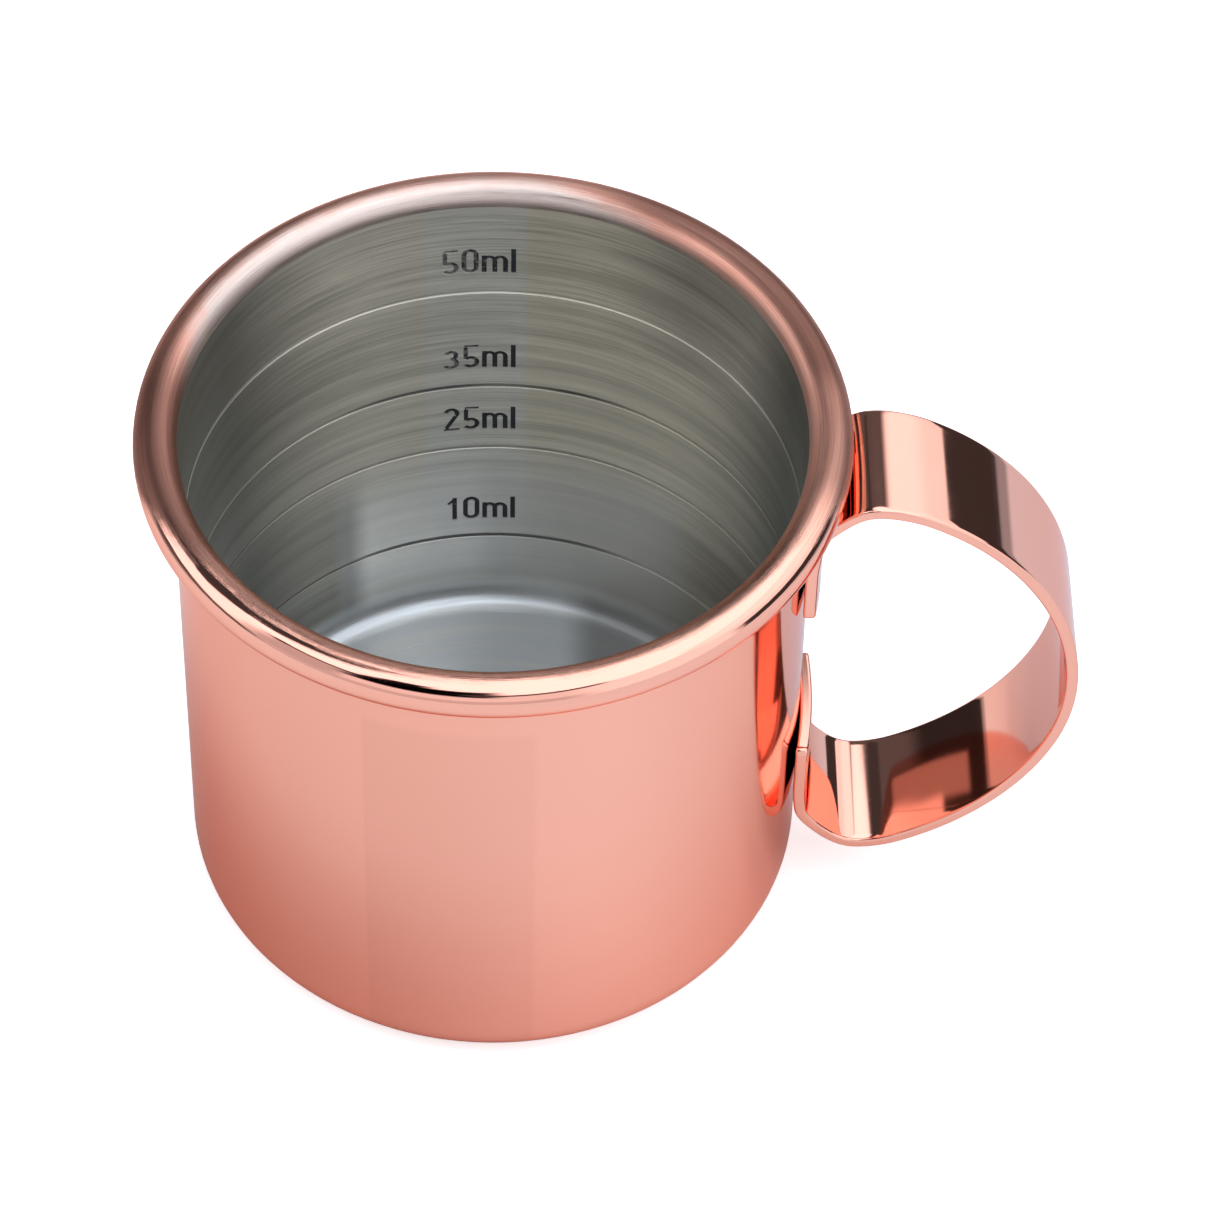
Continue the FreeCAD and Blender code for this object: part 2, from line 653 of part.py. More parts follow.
def check(sub_parts):
    for item in doc.Objects:
        if "Invalid" in item.State or "Error" in item.State:
            raise RuntimeError(f"{item.Name} failed: {item.State}")
        if item.TypeId == "Sketcher::SketchObject" and not item.FullyConstrained:
            raise RuntimeError(f"{item.Name} isn't fully constrained")
    for part in sub_parts:
        if part.Shape.isNull() or not part.Shape.isValid():
            raise RuntimeError(f"{part.Label} has no valid shape")


def write(sub_parts):
    os.makedirs("parts", exist_ok=True)
    for part in sub_parts:
        part.Label = part.Name
        part.Shape.exportStep(os.path.join("parts", part.Label + ".step"))
        box = part.Shape.optimalBoundingBox()
        print(f"{part.Label:18s} solids {len(part.Shape.Solids)} volume {part.Shape.Volume:9.3f}"
              f"  z {box.ZMin:.3f} to {box.ZMax:.3f}  x to {box.XMax:.3f}")


SUB_PARTS = build()
check(SUB_PARTS)
write(SUB_PARTS)
for graduation in VOLUMES:
    print(graduation, "ring at", round(value_of(ring_height(graduation)), 3))
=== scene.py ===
"""A copper-plated bar jigger: its looks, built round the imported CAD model.

Metres, +Z up, the cup's axis on Z and its handle along +X. The studio is a pale table in a dark
room, with a large softbox overhead and smaller softboxes, walls and stands round it.
"""
import bpy
import bmesh
import math
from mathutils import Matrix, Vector


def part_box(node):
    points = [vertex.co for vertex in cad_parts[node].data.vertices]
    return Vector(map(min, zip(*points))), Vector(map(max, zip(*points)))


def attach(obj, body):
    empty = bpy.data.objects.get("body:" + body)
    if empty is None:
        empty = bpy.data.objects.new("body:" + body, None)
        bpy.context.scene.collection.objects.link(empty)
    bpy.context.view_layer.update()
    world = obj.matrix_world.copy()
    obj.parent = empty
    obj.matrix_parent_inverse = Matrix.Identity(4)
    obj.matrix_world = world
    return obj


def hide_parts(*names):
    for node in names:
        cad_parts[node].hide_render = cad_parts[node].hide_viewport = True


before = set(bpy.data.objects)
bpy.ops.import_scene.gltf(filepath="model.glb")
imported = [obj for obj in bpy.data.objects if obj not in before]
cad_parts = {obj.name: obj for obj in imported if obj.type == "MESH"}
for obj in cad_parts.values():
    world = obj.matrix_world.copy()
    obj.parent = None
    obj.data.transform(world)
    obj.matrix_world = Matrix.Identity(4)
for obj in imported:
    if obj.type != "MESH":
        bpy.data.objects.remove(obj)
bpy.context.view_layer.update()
MM = 0.001
CUP_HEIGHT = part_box("copper_plating")[1].z

# ---------------------------------------------------------------- camera

FOCAL = 161.1
SENSOR_WIDTH = 36.0
DISTANCE = 392.2 * MM
ELEVATION = math.radians(49.82)
SHIFT = (0.0937, 0.0167)
CLIP = (0.01, 20.0)


def make_camera():
    data = bpy.data.cameras.new("camera")
    data.lens = FOCAL
    data.sensor_width = SENSOR_WIDTH
    data.shift_x, data.shift_y = SHIFT
    data.clip_start, data.clip_end = CLIP
    camera = bpy.data.objects.new("camera", data)
    bpy.context.scene.collection.objects.link(camera)
    target = Vector((0, 0, CUP_HEIGHT / 2))
    away = Vector((0, -math.cos(ELEVATION), math.sin(ELEVATION)))
    camera.location = target + away * DISTANCE
    camera.rotation_euler = (-away).to_track_quat("-Z", "Y").to_euler()
    bpy.context.scene.camera = camera


# ---------------------------------------------------------------- node helpers

class Nodes:
    """Short calls for building a node tree: a value may be a number, a colour or a socket."""

    def __init__(self, tree):
        self.tree = tree
        tree.nodes.clear()

    def add(self, kind, inputs=None, **settings):
        node = self.tree.nodes.new(kind)
        for name, value in settings.items():
            setattr(node, name, value)
        for name, value in (inputs or {}).items():
            self.put(node.inputs[name], value)
        return node

    def put(self, socket, value):
        if isinstance(value, bpy.types.NodeSocket):
            self.tree.links.new(value, socket)
        elif isinstance(value, (tuple, list)) and len(value) == 3 and socket.type == "RGBA":
            socket.default_value = (*value, 1.0)
        else:
            socket.default_value = value

    def math(self, operation, *values):
        node = self.add("ShaderNodeMath", operation=operation)
        for index, value in enumerate(values):
            self.put(node.inputs[index], value)
        return node.outputs[0]

    def plus(self, first, second):
        return self.math("ADD", first, second)

    def minus(self, first, second):
        return self.math("SUBTRACT", first, second)

    def times(self, first, second):
        return self.math("MULTIPLY", first, second)

    def turned_from(self, degrees, middle):
        """How far an azimuth is from a middle one, either way round, in degrees."""
        return self.math("ABSOLUTE", self.math("WRAP", self.minus(degrees, middle), 180, -180))

    def mix(self, factor, first, second):
        node = self.add("ShaderNodeMix", data_type="RGBA")
        self.put(node.inputs[0], factor)
        self.put(node.inputs[6], first)
        self.put(node.inputs[7], second)
        return node.outputs[2]

    def blend(self, factor, first, second):
        node = self.add("ShaderNodeMix", data_type="FLOAT")
        for index, value in ((0, factor), (2, first), (3, second)):
            self.put(node.inputs[index], value)
        return node.outputs[0]

    def product(self, first, second):
        """One colour times another."""
        return self.add("ShaderNodeVectorMath", {0: first, 1: second}, operation="MULTIPLY").outputs[0]

    def ramp(self, value, low, high, out_low=0.0, out_high=1.0, smooth=True):
        node = self.add("ShaderNodeMapRange", {"Value": value, "From Min": low, "From Max": high,
                                               "To Min": out_low, "To Max": out_high},
                        interpolation_type="SMOOTHSTEP" if smooth else "LINEAR")
        return node.outputs[0]

    def spread(self, noise, out_low=0.0, out_high=1.0, smooth=True):
        """The middle of a noise's values drawn out over a new range."""
        return self.ramp(noise, *NOISE_MIDDLE, out_low, out_high, smooth)

    def window(self, value, low, high, soft_low, soft_high):
        """1 between low and high, falling smoothly to 0 over the soft width outside each."""
        rise = self.ramp(value, low - soft_low, low)
        fall = self.ramp(value, high, high + soft_high, 1.0, 0.0)
        return self.times(rise, fall)

    def noise(self, vector, scale, detail=2.0, roughness=0.5):
        node = self.add("ShaderNodeTexNoise", {"Vector": vector, "Scale": scale, "Detail": detail,
                                               "Roughness": roughness})
        return node.outputs["Fac"]


NOISE_MIDDLE = (0.3, 0.7)


def new_material(name):
    material = bpy.data.materials.new(name)
    material.use_nodes = True
    return material, Nodes(material.node_tree)


def finish_material(n, shader):
    out = n.add("ShaderNodeOutputMaterial")
    n.tree.links.new(shader.outputs[0], out.inputs["Surface"])


def camera_switch(n, elsewhere, seen):
    """One shader for the camera's own rays, and another for light and reflections."""
    pick = n.add("ShaderNodeMixShader")
    n.put(pick.inputs[0], n.add("ShaderNodeLightPath").outputs["Is Camera Ray"])
    n.put(pick.inputs[1], elsewhere.outputs[0])
    n.put(pick.inputs[2], seen.outputs[0])
    return pick


# ---------------------------------------------------------------- studio

# The room as the polished metal sees it, painted in this order. Each patch is given by its middle
# azimuth and half width, its lowest and highest elevation, its soft edges (side, low, high), all in
# degrees, and its radiance. Azimuth 0 is the handle's side, 90 behind the cup, -90 the camera's side.
ROOM = 0.03
PATCHES = [
    ("front_wall", -105, 66, -30, 40, (14, 2, 3), 1.05),
    ("front_low_wall", -95, 60, -12, 12, (14, 2, 4), 0.75),
    ("front_right_wall", -28, 30, -30, 44, (14, 2, 3), 1.3),
    ("back_wall", 83, 14, 7, 36, (5, 2, 3), 0.47),
    ("back_high_wall", 94, 17, 36, 62, (6, 3, 2), 0.12),
    ("back_left_wall", 128, 24, 30, 66, (5, 8, 4), 0.12),
    ("left_softbox", 172, 20, 14, 60, (6, 4, 3), 1.75),
    ("left_wall", -146, 10, 14, 44, (6, 4, 4), 0.66),
    ("left_horizon", 176, 22, -12, 6, (10, 2, 5), 0.15),
    ("right_softbox_low", 24, 41, 18, 60, (8, 1.0, 4), 1.3),
    ("right_softbox", 24, 42, 36, 60, (14, 12, 4), 1.58),
    ("overhead_softbox", 0, 181, 51, 91, (1, 1.2, 1), 1.9),
    ("front_softbox", -60, 32, 45, 70, (8, 3, 4), 1.9),
    ("back_left_high", 138, 27, 44, 74, (7, 2, 4), 0.06),
    ("camera_stand", -112, 19, 36, 58, (9, 5, 6), 0.0),
    ("camera_head", -126, 8, 50, 67, (4, 3, 2), 0.0),
    ("camera_arm", -77, 19, 41, 46, (6, 1.5, 2), 0.08),
    ("horizon", 22, 38, -3, 17, (7, 1.0, 0.8), 0.05),
    ("back_horizon", 85, 32, -4, 5, (8, 1.0, 3), 0.03),
]
LAMP_TINT = (0.965, 1.0, 1.07)
BACKDROP = (1, 1, 1)


def make_world():
    world = bpy.data.worlds.new("studio")
    bpy.context.scene.world = world
    world.use_nodes = True
    n = Nodes(world.node_tree)
    direction = n.add("ShaderNodeTexCoord").outputs["Generated"]
    x, y, z = n.add("ShaderNodeSeparateXYZ", {"Vector": direction}).outputs
    elevation = n.math("DEGREES", n.math("ARCSINE", z))
    azimuth = n.math("DEGREES", n.math("ARCTAN2", y, x))
    radiance = ROOM
    for name, middle, half, low, high, (soft_side, soft_low, soft_high), level in PATCHES:
        side = n.ramp(n.turned_from(azimuth, middle), half, half + soft_side, 1.0, 0.0)
        patch = n.times(side, n.window(elevation, low, high, soft_low, soft_high))
        radiance = n.blend(patch, radiance, level)
    studio = n.add("ShaderNodeBackground", {"Color": LAMP_TINT, "Strength": radiance})
    white = n.add("ShaderNodeBackground", {"Color": BACKDROP, "Strength": 1.0})
    out = n.add("ShaderNodeOutputWorld")
    n.tree.links.new(camera_switch(n, studio, white).outputs[0], out.inputs["Surface"])


# The table. Each span below is where a change starts and ends, then the values at its two ends.
# Turns are the sine (behind the cup) or the cosine (to its right) of the azimuth.
TABLE_RADIUS = 2.0
TABLE_SEGMENTS = 128
TABLE_DROP = 0.02 * MM
TABLE_WHITE = 0.865
TABLE_LIFT = 0.55
PAPER = (0.9, 0.9, 0.9)
# Painted shade: behind the cup the sheet's colour darkens with distance, over these spans, standing in
# for the light falling off into the dark room.
BEHIND = (-0.2, 0.3)
NEAR_BEHIND = (0.250, 0.335, 1.0, 0.46)
FAR_BEHIND = (0.55, 0.95, 1.0, 0.15)
TO_RIGHT = (-0.6, 0.7)
RIGHT_AND_BACK = (-0.05, 0.30)
UNDER_CUP = (24 * MM, 43 * MM)
# Painted light: the tints by side stand in for the colour of the light on the table, cool at the right
# back. Close to the cup, a painted shadow warmed by copper bounce on the left, and a painted copper
# bounce on the right.
TABLE_LEFT = (1.0, 0.99, 0.98)
TABLE_RIGHT = (0.97, 1.01, 1.03)
TABLE_RIGHT_BACK = (0.80, 0.97, 1.09)
TABLE_PAINTED_SHADOW_LEFT = (0.78, 0.60, 0.55)
TABLE_PAINTED_BOUNCE_RIGHT = (1.0, 0.93, 0.90)


def table_colour(n):
    """Pale, with painted shade behind the cup, and a painted shadow and copper bounce close to it."""
    position, away, angle, height = radial_coordinates(n)
    behind = n.ramp(n.math("SINE", angle), *BEHIND)
    # Painted shade falling off behind the cup.
    fall = n.times(n.ramp(away, *NEAR_BEHIND), n.ramp(away, *FAR_BEHIND))
    tone = n.times(n.blend(behind, 1.0, fall), TABLE_WHITE)
    right = n.ramp(n.math("COSINE", angle), *TO_RIGHT)
    right_back = n.times(right, n.ramp(n.math("SINE", angle), *RIGHT_AND_BACK))
    # Painted shadow and copper bounce close to the cup, and painted tints of the light farther out.
    close = n.mix(right_back, n.mix(right, TABLE_PAINTED_SHADOW_LEFT, TABLE_PAINTED_BOUNCE_RIGHT), TABLE_RIGHT_BACK)
    wide = n.mix(right_back, n.mix(right, TABLE_LEFT, TABLE_RIGHT), TABLE_RIGHT_BACK)
    tint = n.mix(n.ramp(away, *UNDER_CUP), close, wide)
    return n.add("ShaderNodeVectorMath", {"Vector": tint, "Scale": tone}, operation="SCALE").outputs[0]


def make_table():
    """A pale sheet that runs on towards the camera, with painted shade falling off behind the cup."""
    mesh = bpy.data.meshes.new("table")
    bm = bmesh.new()
    bmesh.ops.create_circle(bm, cap_ends=True, radius=TABLE_RADIUS, segments=TABLE_SEGMENTS)
    bm.to_mesh(mesh)
    bm.free()
    table = bpy.data.objects.new("table", mesh)
    table.location.z = -TABLE_DROP
    bpy.context.scene.collection.objects.link(table)
    material, n = new_material("pale_table")
    sheet = n.add("ShaderNodeBsdfDiffuse", {"Color": table_colour(n)})
    lift = n.add("ShaderNodeEmission", {"Strength": TABLE_LIFT})
    paper = n.add("ShaderNodeBsdfDiffuse", {"Color": PAPER})
    seen = n.add("ShaderNodeAddShader")
    n.put(seen.inputs[0], lift.outputs[0])
    n.put(seen.inputs[1], paper.outputs[0])
    finish_material(n, camera_switch(n, sheet, seen))
    mesh.materials.append(material)


# ---------------------------------------------------------------- materials

# A noise is given as scale, detail and roughness. A span is where a change starts and ends, then
# the values at its two ends. A window is its low and high end, then the soft width past each.

COPPER = (0.93, 0.458, 0.352)
COPPER_EDGE = (1.0, 0.72, 0.66)
CLOUD = (90.0, 2.0, 0.5)
GRAIN = (900.0, 3.0, 0.6)
GRAIN_ROUGHNESS = (0.5, 0.75, 0.0, 0.02)
STRAP_WAVE = (55.0, 1.0, 0.4)
STRAP_WAVE_DEPTH = 0.06 * MM
STRAP_WAVE_SHARE = 0.25
STRAP_ROUGHNESS = (0.04, 0.065)


def radial_coordinates(n):
    """Object position, and the same as distance from the axis, angle round it and height."""
    position = n.add("ShaderNodeTexCoord").outputs["Object"]
    x, y, z = n.add("ShaderNodeSeparateXYZ", {"Vector": position}).outputs
    radius = n.math("SQRT", n.plus(n.times(x, x), n.times(y, y)))
    angle = n.math("ARCTAN2", y, x)
    return position, radius, angle, z


def rings_of_noise(n, angle, across, stretch, scale, detail=3.0, roughness=0.6):
    """Brushing that runs round the axis: noise drawn out along the angle, on a seamless circle."""
    vector = n.add("ShaderNodeCombineXYZ", {"X": n.times(n.math("COSINE", angle), stretch),
                                            "Y": n.times(n.math("SINE", angle), stretch),
                                            "Z": n.times(across, scale)})
    return n.noise(vector.outputs[0], 1.0, detail, roughness)


def brushed_metal(n, height, inputs):
    """A metal brushed round the cup's axis, with a bump that is given as a height in metres."""
    bump = n.add("ShaderNodeBump", {"Height": height, "Strength": 1.0, "Distance": 1.0})
    tangent = n.add("ShaderNodeTangent", direction_type="RADIAL", axis="Z")
    surface = {"Normal": bump.outputs[0], "Tangent": tangent.outputs[0]}
    return n.add("ShaderNodeBsdfPrincipled", {**inputs, **surface})


def polished_copper(name):
    """Mirror copper, slightly cloudy, with a slight waviness left by bending the strip."""
    material, n = new_material(name)
    position = n.add("ShaderNodeTexCoord").outputs["Object"]
    rough = n.plus(n.spread(n.noise(position, *CLOUD), *STRAP_ROUGHNESS),
                   n.ramp(n.noise(position, *GRAIN), *GRAIN_ROUGHNESS))
    bump = n.add("ShaderNodeBump", {"Height": n.noise(position, *STRAP_WAVE),
                                    "Strength": STRAP_WAVE_SHARE, "Distance": STRAP_WAVE_DEPTH})
    shader = n.add("ShaderNodeBsdfPrincipled", {"Base Color": COPPER, "Metallic": 1.0,
                                                "Specular Tint": COPPER_EDGE,
                                                "Roughness": rough, "Normal": bump.outputs[0]})
    finish_material(n, shader)
    return material


# The rolled rim. A place on it has an azimuth round the cup and a turn round the rolled section,
# which is 0 facing out, 90 on top and 180 facing the axis, both in degrees.
CURL_RADIUS = 23.43 * MM
CURL_HEIGHT = CUP_HEIGHT - 1.54 * MM
CURL_SKIN = (1.64 * MM, 1.80 * MM, 1.0, 0.0)
FRONT_HALF = (-0.6, -0.1, 1.0, 0.0)
INNER_SIDE = (85, 130)
PATCHY = (260.0, 3.0, 0.65)
RIM_STREAK = (2.4, 0.30)
RIM_FINE = (7.0, 0.9)
RAGGED = 9
SATIN_STARTS = {"back": -10.0, "front": 80.0}
SATIN_SOFTNESS = (-14, 22)
WORN_AZIMUTH = 115
WORN_STARTS = (28, 66, 92, 166)
WORN_SOFTNESS = (-30, 34, 0.0, 0.85)

# Painted shade on the rim's brushed copper: how much of its brightness it keeps away from the
# handle's plane, and in it on the outer and the inner side. Then the stretches that differ: an
# unshaded front, and what each of the others loses there.
KEEPS = 0.98
KEEPS_OUTER, KEEPS_INNER = 0.42, 0.80
UNSHADED_FRONT = (-62, -24, 10, 12)
RIGHT_BACK = {"azimuth": (14, 60, 10, 18), "turn": (60, 114, 14, 20), "loses": 0.55}
BACK = {"azimuth": (58, 135, 14, 20), "turn": (95, 128, 12, 12), "loses": 0.22}
LEFT = {"azimuth": 190, "span": (16, 32, 1.0, 0.0), "loses": 0.58}
BRUSHED_DARK, BRUSHED_PALE = (0.80, 0.36, 0.27), (0.98, 0.55, 0.42)
# The dark colour that the rim's painted shade mixes towards.
RIM_PAINTED_SHADE = (0.10, 0.04, 0.03)
LIP_DARK, LIP_PALE = (0.56, 0.50, 0.455), (0.80, 0.73, 0.68)
LIP_LEFT = (0.34, 0.25, 0.21)

# A painted reflection: an upright band of the wall, below the rim, painted slightly darker.
PAINTED_BAND_AZIMUTH = (-113.2, -83.4, 0.8, 1.6)
BELOW_RIM = (5.4 * MM, 6.4 * MM)
PAINTED_BAND_SHARE = 0.07
PAINTED_DARK_BAND = (0.30, 0.14, 0.11)

WALL_POLISH = (0.05, 0.09)
RIM_ROUGHNESS = {"back": (0.27, 0.42), "front": (0.13, 0.22)}
INNER_ROUGHNESS = (120, 165, 0.0, 0.15)
SIDE_ROUGHNESS = (0.6, 0.95, 0.0, 0.10)
WALL_WAVE = (45.0, 1.0, 0.4)
WALL_WAVE_DEPTH = 0.02 * MM
BRUSH_DEPTH = 0.012 * MM


def rim_brightness(n, degrees, turn, sideways, left):
    """The share of its brightness that the brushed copper of the rim keeps under its painted shade."""
    in_plane = n.blend(n.ramp(turn, *INNER_SIDE), KEEPS_OUTER, KEEPS_INNER)
    keeps = n.blend(n.math("POWER", sideways, 2.0), KEEPS, in_plane)
    keeps = n.blend(n.window(degrees, *UNSHADED_FRONT), keeps, KEEPS)
    regions = [(n.times(n.window(degrees, *place["azimuth"]), n.window(turn, *place["turn"])),
                place["loses"]) for place in (RIGHT_BACK, BACK)]
    for region, loses in regions + [(left, LEFT["loses"])]:
        keeps = n.times(keeps, n.minus(1.0, n.times(region, loses)))
    return keeps


def plated_cup(name):
    """Mirror copper on the wall, satin brushed copper over the rim, worn to steel at its inner lip."""
    material, n = new_material(name)
    position, radius, angle, height = radial_coordinates(n)
    degrees = n.math("DEGREES", angle)
    sideways = n.math("ABSOLUTE", n.math("COSINE", angle))
    front = n.ramp(n.math("SINE", angle), *FRONT_HALF)
    left = n.ramp(n.turned_from(degrees, LEFT["azimuth"]), *LEFT["span"])
    out = n.minus(radius, CURL_RADIUS)
    up = n.minus(height, CURL_HEIGHT)
    reach = n.math("SQRT", n.plus(n.times(out, out), n.times(up, up)))
    turn = n.math("DEGREES", n.math("ARCTAN2", up, out))
    on_rim = n.ramp(reach, *CURL_SKIN)

    streak = rings_of_noise(n, angle, turn, *RIM_STREAK)
    fine = rings_of_noise(n, angle, turn, *RIM_FINE)
    ragged = n.plus(n.spread(n.noise(position, *PATCHY), -RAGGED, RAGGED, smooth=False),
                    n.spread(streak, -RAGGED, RAGGED, smooth=False))
    ragged_turn = n.plus(turn, ragged)
    satin_starts = n.blend(front, SATIN_STARTS["back"], SATIN_STARTS["front"])
    satin = n.times(on_rim, n.ramp(n.minus(ragged_turn, satin_starts), *SATIN_SOFTNESS))
    worn_starts = n.ramp(n.turned_from(degrees, WORN_AZIMUTH), *WORN_STARTS)
    worn = n.times(on_rim, n.ramp(n.minus(ragged_turn, worn_starts), *WORN_SOFTNESS))

    brushed = n.mix(n.spread(streak), BRUSHED_DARK, BRUSHED_PALE)
    # Painted shade: the brushed copper darkened by stretch round the rim.
    brushed = n.mix(rim_brightness(n, degrees, turn, sideways, left), RIM_PAINTED_SHADE, brushed)
    lip = n.mix(left, n.mix(n.spread(fine), LIP_DARK, LIP_PALE), LIP_LEFT)
    colour = n.mix(worn, n.mix(satin, COPPER, brushed), lip)
    # Painted reflection: a slightly darker upright band on the front of the wall.
    painted_band = n.times(n.window(degrees, *PAINTED_BAND_AZIMUTH), n.ramp(reach, *BELOW_RIM))
    colour = n.mix(n.times(painted_band, PAINTED_BAND_SHARE), colour, PAINTED_DARK_BAND)

    brush = n.blend(front, n.spread(fine, *RIM_ROUGHNESS["back"]),
                    n.spread(fine, *RIM_ROUGHNESS["front"]))
    brush = n.plus(brush, n.ramp(turn, *INNER_ROUGHNESS))
    brush = n.plus(brush, n.ramp(sideways, *SIDE_ROUGHNESS))
    rough = n.blend(satin, n.spread(n.noise(position, *CLOUD), *WALL_POLISH), brush)
    wave = n.times(n.noise(position, *WALL_WAVE), WALL_WAVE_DEPTH)
    lines = n.times(n.times(fine, satin), BRUSH_DEPTH)
    shader = brushed_metal(n, n.plus(wave, lines), {
        "Base Color": colour, "Metallic": 1.0, "Specular Tint": COPPER_EDGE,
        "Roughness": rough, "Anisotropic": 0.5})
    finish_material(n, shader)
    return material


# The steel inside. Turns here are in degrees from the back of the cup, positive to the right.
STEEL_DARK = (0.62, 0.61, 0.545)
STEEL_PALE = (1.0, 0.985, 0.905)
WARMTH_LEFT, WARMTH_RIGHT = (1.0, 0.955, 0.86), (1.0, 0.93, 0.81)
BRUSH_FINE = (2.2, 5200.0, 3.0, 0.75)
BRUSH_BROAD = (0.7, 900.0, 2.0, 0.55)
BROAD_SHARE = 0.7
BRUSH_CONTRAST = (-0.16, 0.16)
SCRATCHED_ABOVE = (20 * MM, 38 * MM, 0.55, 1.0)
# Painted light: an upright column at the back is left neutral, standing in for cooler light reflected
# there. The warm tint also fades towards the bottom.
NEUTRAL_COLUMN = (-12.0, 5.0, 3.0, 3.0)
NEUTRAL_SHARE = 0.75
WARM_ABOVE = (2 * MM, 12 * MM, 0.45, 1.0)
WARMTH_TURN = (-12, 10)

# Painted shade on the sides of the wall and near its top: the darkening over each span of turn, high
# up and low down.
SHADE = (0.06, 0.058, 0.05)
LOW_WALL = (11 * MM, 19 * MM, 1.0, 0.0)
LEFT_HIGH = (-62, -20, 0.82, 0.0)
LEFT_LOW_EDGE = (-31, -25, 0.56, 0.0)
LEFT_LOW_SIDE = (-60, -32, 0.38, 0.0)
RIGHT_HIGH = (34, 76, 0.0, 0.88)
RIGHT_LOW = (25, 72, 0.12, 0.93)
LEFT_OF_MIDDLE = (-6, 0, 1.0, 0.0)
RIGHT_OF_MIDDLE = (-6, 2)
UPPER_WALL = (30 * MM, 34 * MM)
UPPER_SHADE = (18, 42, 0.04, 0.42)
TOP_SHADE = (37 * MM, 41 * MM, 0.0, 0.16)
# Painted light: a pale patch low on the wall, round the back, over these spans.
GLOW = (1.0, 0.99, 0.95)
GLOW_BELOW = (11 * MM, 20 * MM, 0.7, 0.0)
GLOW_TURN = (-31, 34, 4, 14)

# Painted light and shade on the floor: its tones are paler and cooler than the wall's, standing in for
# the light it gets, and it is painted darker towards its right in two steps.
FLOOR_DARK, FLOOR_PALE = (0.86, 0.93, 0.98), (0.97, 1.0, 1.0)
FLOOR_SHADE, FLOOR_CORNER_SHADE = (0.16, 0.16, 0.15), (0.16, 0.155, 0.14)
FLOOR_SHADE_ACROSS = (-6 * MM, 5 * MM, 0.0, 0.22)
FLOOR_CORNER_SHADE_ACROSS = (4.8 * MM, 8.2 * MM, 0.0, 0.66)
FLOOR_TOP = (1.2 * MM, 3.0 * MM, 1.0, 0.0)

STEEL_METALLIC_HEIGHT = (6 * MM, 24 * MM)
STEEL_METALLIC_LOW = (-8, 20, 0.66, 0.34)
STEEL_METALLIC_HIGH = 0.46
STEEL_ROUGHNESS, FLOOR_ROUGHNESS = (0.34, 0.48), (0.32, 0.48)
ROUGH_BOTTOM, ROUGH_TOP = (3 * MM, 7 * MM, 1.0, 0.0), (36 * MM, 40 * MM)
ROUGH_ENDS = 0.16

# The scribed rings, each this far below the lowest point of the mark that stands over it.
MARK_LIFT = 1.95 * MM
# Painted shade and highlight on the scribed rings: each is painted dark in the middle of the back, by
# these shares, and painted bright to its sides.
RING_SHADE_SHARES = {"mark_10ml": 0.8, "mark_25ml": 0.1, "mark_35ml": 0.9, "mark_50ml": 0.35}
RING_SHADE = (0.17, 0.17, 0.16)
RING_SHADE_ACROSS = (-0.14 * MM, 0.20 * MM, 0.08 * MM, 0.08 * MM)
RING_SHADE_NOISE = (60.0, 2.0, 0.5)
RING_SHADE_NOISE_SPAN = (0.35, 0.6)
RING_SHADE_LEAST = 0.45
RING_SHADE_MIDDLE = (16, 36, 1.0, 0.1)
RING_SHADE_OFF_CENTRE = 2.0
RING_HIGHLIGHT = (1.0, 1.0, 0.96)
RING_HIGHLIGHT_ACROSS = (-0.05 * MM, 0.10 * MM, 0.06 * MM, 0.06 * MM)
RING_HIGHLIGHT_SHARE = 0.42


def brushing_tone(n, fine, broad, height):
    """Light and dark rings of the brushing, with the fine ones stronger high up."""
    strong = n.times(n.minus(fine, 0.5), n.ramp(height, *SCRATCHED_ABOVE))
    weak = n.times(n.minus(broad, 0.5), BROAD_SHARE)
    return n.ramp(n.plus(strong, weak), *BRUSH_CONTRAST, smooth=False)


def wall_colour(n, tone, from_back, height):
    """Warm steel, painted cooler in an upright column, painted paler low down, painted shade to both
    sides.
    """
    # Painted light: an upright column left without the warm tint.
    neutral = n.times(n.window(from_back, *NEUTRAL_COLUMN), NEUTRAL_SHARE)
    warm = n.times(n.minus(1.0, neutral), n.ramp(height, *WARM_ABOVE))
    warmth = n.mix(n.ramp(from_back, *WARMTH_TURN), WARMTH_LEFT, WARMTH_RIGHT)
    steel = n.mix(tone, STEEL_DARK, STEEL_PALE)
    steel = n.mix(warm, steel, n.product(steel, warmth))
    # Painted shade to both sides and high up.
    low = n.ramp(height, *LOW_WALL)
    left_low = n.plus(n.ramp(from_back, *LEFT_LOW_EDGE), n.ramp(from_back, *LEFT_LOW_SIDE))
    left = n.blend(low, n.ramp(from_back, *LEFT_HIGH), left_low)
    right = n.blend(low, n.ramp(from_back, *RIGHT_HIGH), n.ramp(from_back, *RIGHT_LOW))
    sides = n.math("MAXIMUM", n.times(left, n.ramp(from_back, *LEFT_OF_MIDDLE)),
                   n.times(right, n.ramp(from_back, *RIGHT_OF_MIDDLE)))
    upper = n.times(n.ramp(height, *UPPER_WALL), n.ramp(from_back, *UPPER_SHADE))
    upper = n.plus(upper, n.ramp(height, *TOP_SHADE))
    # Painted light: a pale patch low on the wall.
    glow = n.times(n.ramp(height, *GLOW_BELOW), n.window(from_back, *GLOW_TURN))
    return n.mix(n.math("MAXIMUM", sides, upper), n.mix(glow, steel, GLOW), SHADE)


